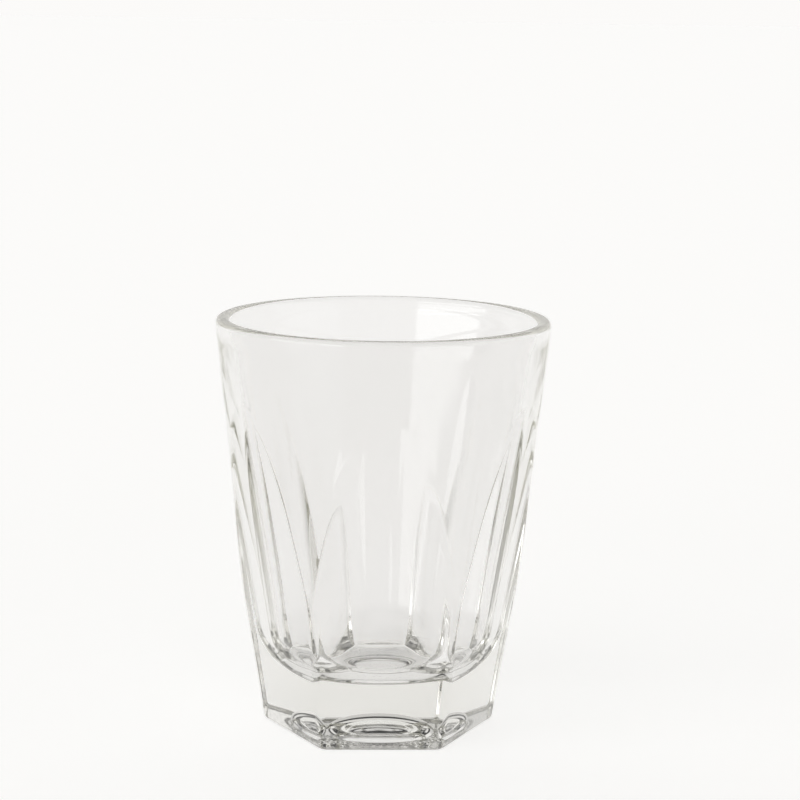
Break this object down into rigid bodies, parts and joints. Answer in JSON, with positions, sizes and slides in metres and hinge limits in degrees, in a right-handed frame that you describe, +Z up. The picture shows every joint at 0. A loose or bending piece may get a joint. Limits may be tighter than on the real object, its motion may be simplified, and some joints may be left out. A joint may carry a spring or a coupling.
{
  "type": "latte glass",
  "caption": "Thick pressed-glass tumbler for a latte: round flared rim, hexagonal heavy foot, tall arched flats that fade into the round wall.",
  "frame": {"origin": "centre of the foot, on the table", "axes": "+Z up along the axis of the round wall, one flat facing -Y"},
  "size_m": [0.089, 0.089, 0.111],
  "materials": {
    "clear_glass": "clear, fire-polished"
  },
  "bodies": {
    "root": {"tumbler": "clear_glass"}
  },
  "joints": []
}
